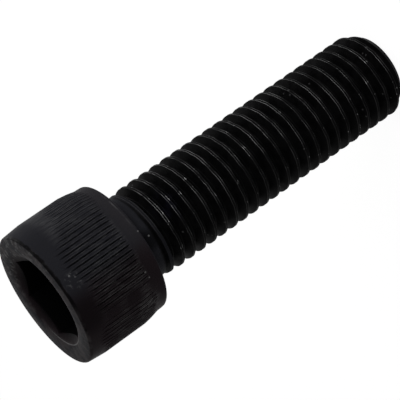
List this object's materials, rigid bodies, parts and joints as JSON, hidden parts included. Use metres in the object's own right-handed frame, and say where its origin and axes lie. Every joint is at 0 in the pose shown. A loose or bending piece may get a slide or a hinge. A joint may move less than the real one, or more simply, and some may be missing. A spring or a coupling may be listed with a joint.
{
  "type": "hex socket cap screw",
  "caption": "Cylindrical-head screw with a knurled side, an internal hex drive and a coarse metric thread up to the neck, black oxide steel.",
  "frame": {"origin": "centre of the bearing face under the head, on the screw's axis", "axes": "+Z along the axis from the point to the head, so the screw stands on its point with the socket facing up; +X and +Y across it"},
  "size_m": [0.0212, 0.0212, 0.0632],
  "materials": {
    "black_oxide": "black oxide on steel, satin and nearly black, a little paler on edges and crests"
  },
  "bodies": {
    "root": {"screw": "black_oxide"}
  },
  "joints": []
}
